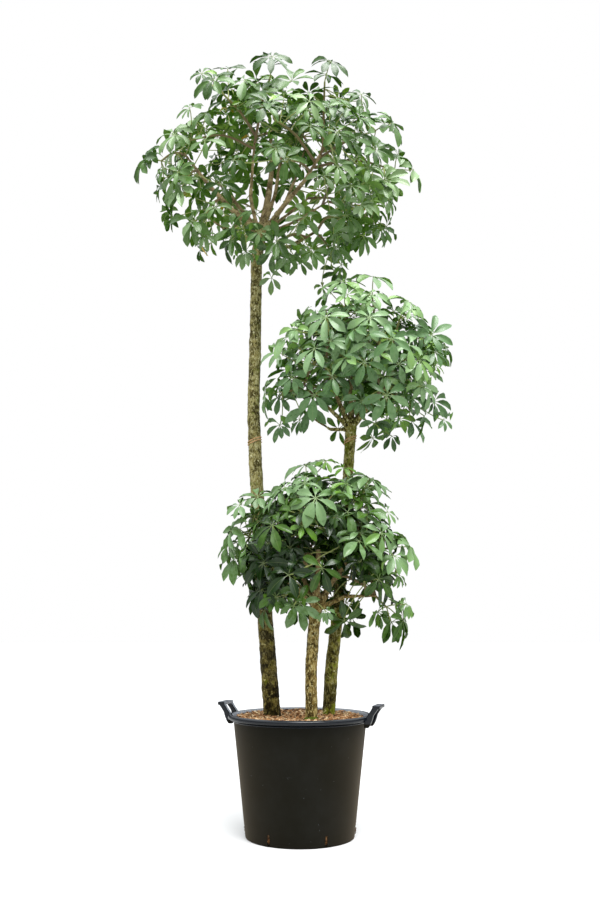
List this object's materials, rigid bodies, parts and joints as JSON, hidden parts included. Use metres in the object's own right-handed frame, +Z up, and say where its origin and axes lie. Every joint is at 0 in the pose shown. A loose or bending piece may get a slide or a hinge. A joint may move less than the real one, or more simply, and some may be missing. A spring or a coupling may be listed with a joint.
{
  "type": "potted umbrella plant",
  "caption": "Tall house plant in a black nursery pot: bare trunks rise from the soil, and each carries a ball-shaped crown of glossy umbrella leaves.",
  "frame": {"origin": "centre of the pot's round underside, on the surface that the pot stands on", "axes": "+Z up, -Y towards the front, where the low crown stands before the others, +X to the right seen from the front"},
  "size_m": [1.2046, 0.8515, 2.8189],
  "materials": {
    "pot_plastic": "matt black moulded plastic, a little scuffed",
    "bark_mix": "dry bark chips over potting mix",
    "bark": "olive-brown bark with moss and lichen",
    "twine": "orange-brown garden twine",
    "green_top": "glossy grey-green leaf",
    "green_middle": "glossy light green leaf",
    "green_low": "glossy dark green leaf"
  },
  "bodies": {
    "root": {"pot": "pot_plastic", "soil": "bark_mix", "trunk_tall": "bark", "trunk_middle": "bark", "trunk_low": "bark", "tie_tall": "twine", "tie_middle": "twine", "stem_top_01": "green_top", "stem_top_02": "green_top", "stem_top_03": "green_top", "stem_top_04": "green_top", "stem_top_05": "green_top", "stem_top_06": "green_top", "stem_top_07": "green_top", "stem_top_08": "green_top", "stem_top_09": "green_top", "stem_top_10": "green_top", "stem_top_11": "green_top", "stem_top_12": "green_top", "stem_top_13": "green_top", "stem_top_14": "green_top", "stem_top_15": "green_top", "stem_top_16": "green_top", "stem_top_17": "green_top", "stem_top_18": "green_top", "stem_top_19": "green_top", "stem_top_20": "green_top", "stem_top_21": "green_top", "stem_top_22": "green_top", "stem_middle_01": "green_middle", "stem_middle_02": "green_middle", "stem_middle_03": "green_middle", "stem_middle_04": "green_middle", "stem_middle_05": "green_middle", "stem_middle_06": "green_middle", "stem_middle_07": "green_middle", "stem_middle_08": "green_middle", "stem_middle_09": "green_middle", "stem_middle_10": "green_middle", "stem_middle_11": "green_middle", "stem_middle_12": "green_middle", "stem_middle_13": "green_middle", "stem_middle_14": "green_middle", "stem_middle_15": "green_middle", "stem_middle_16": "green_middle", "stem_low_01": "green_low", "stem_low_02": "green_low", "stem_low_03": "green_low", "stem_low_04": "green_low", "stem_low_05": "green_low", "stem_low_06": "green_low", "stem_low_07": "green_low", "stem_low_08": "green_low", "stem_low_09": "green_low", "stem_low_10": "green_low", "stem_low_11": "green_low", "stem_low_12": "green_low", "stem_low_13": "green_low", "stem_low_14": "green_low", "stem_low_15": "green_low"}
  },
  "joints": []
}
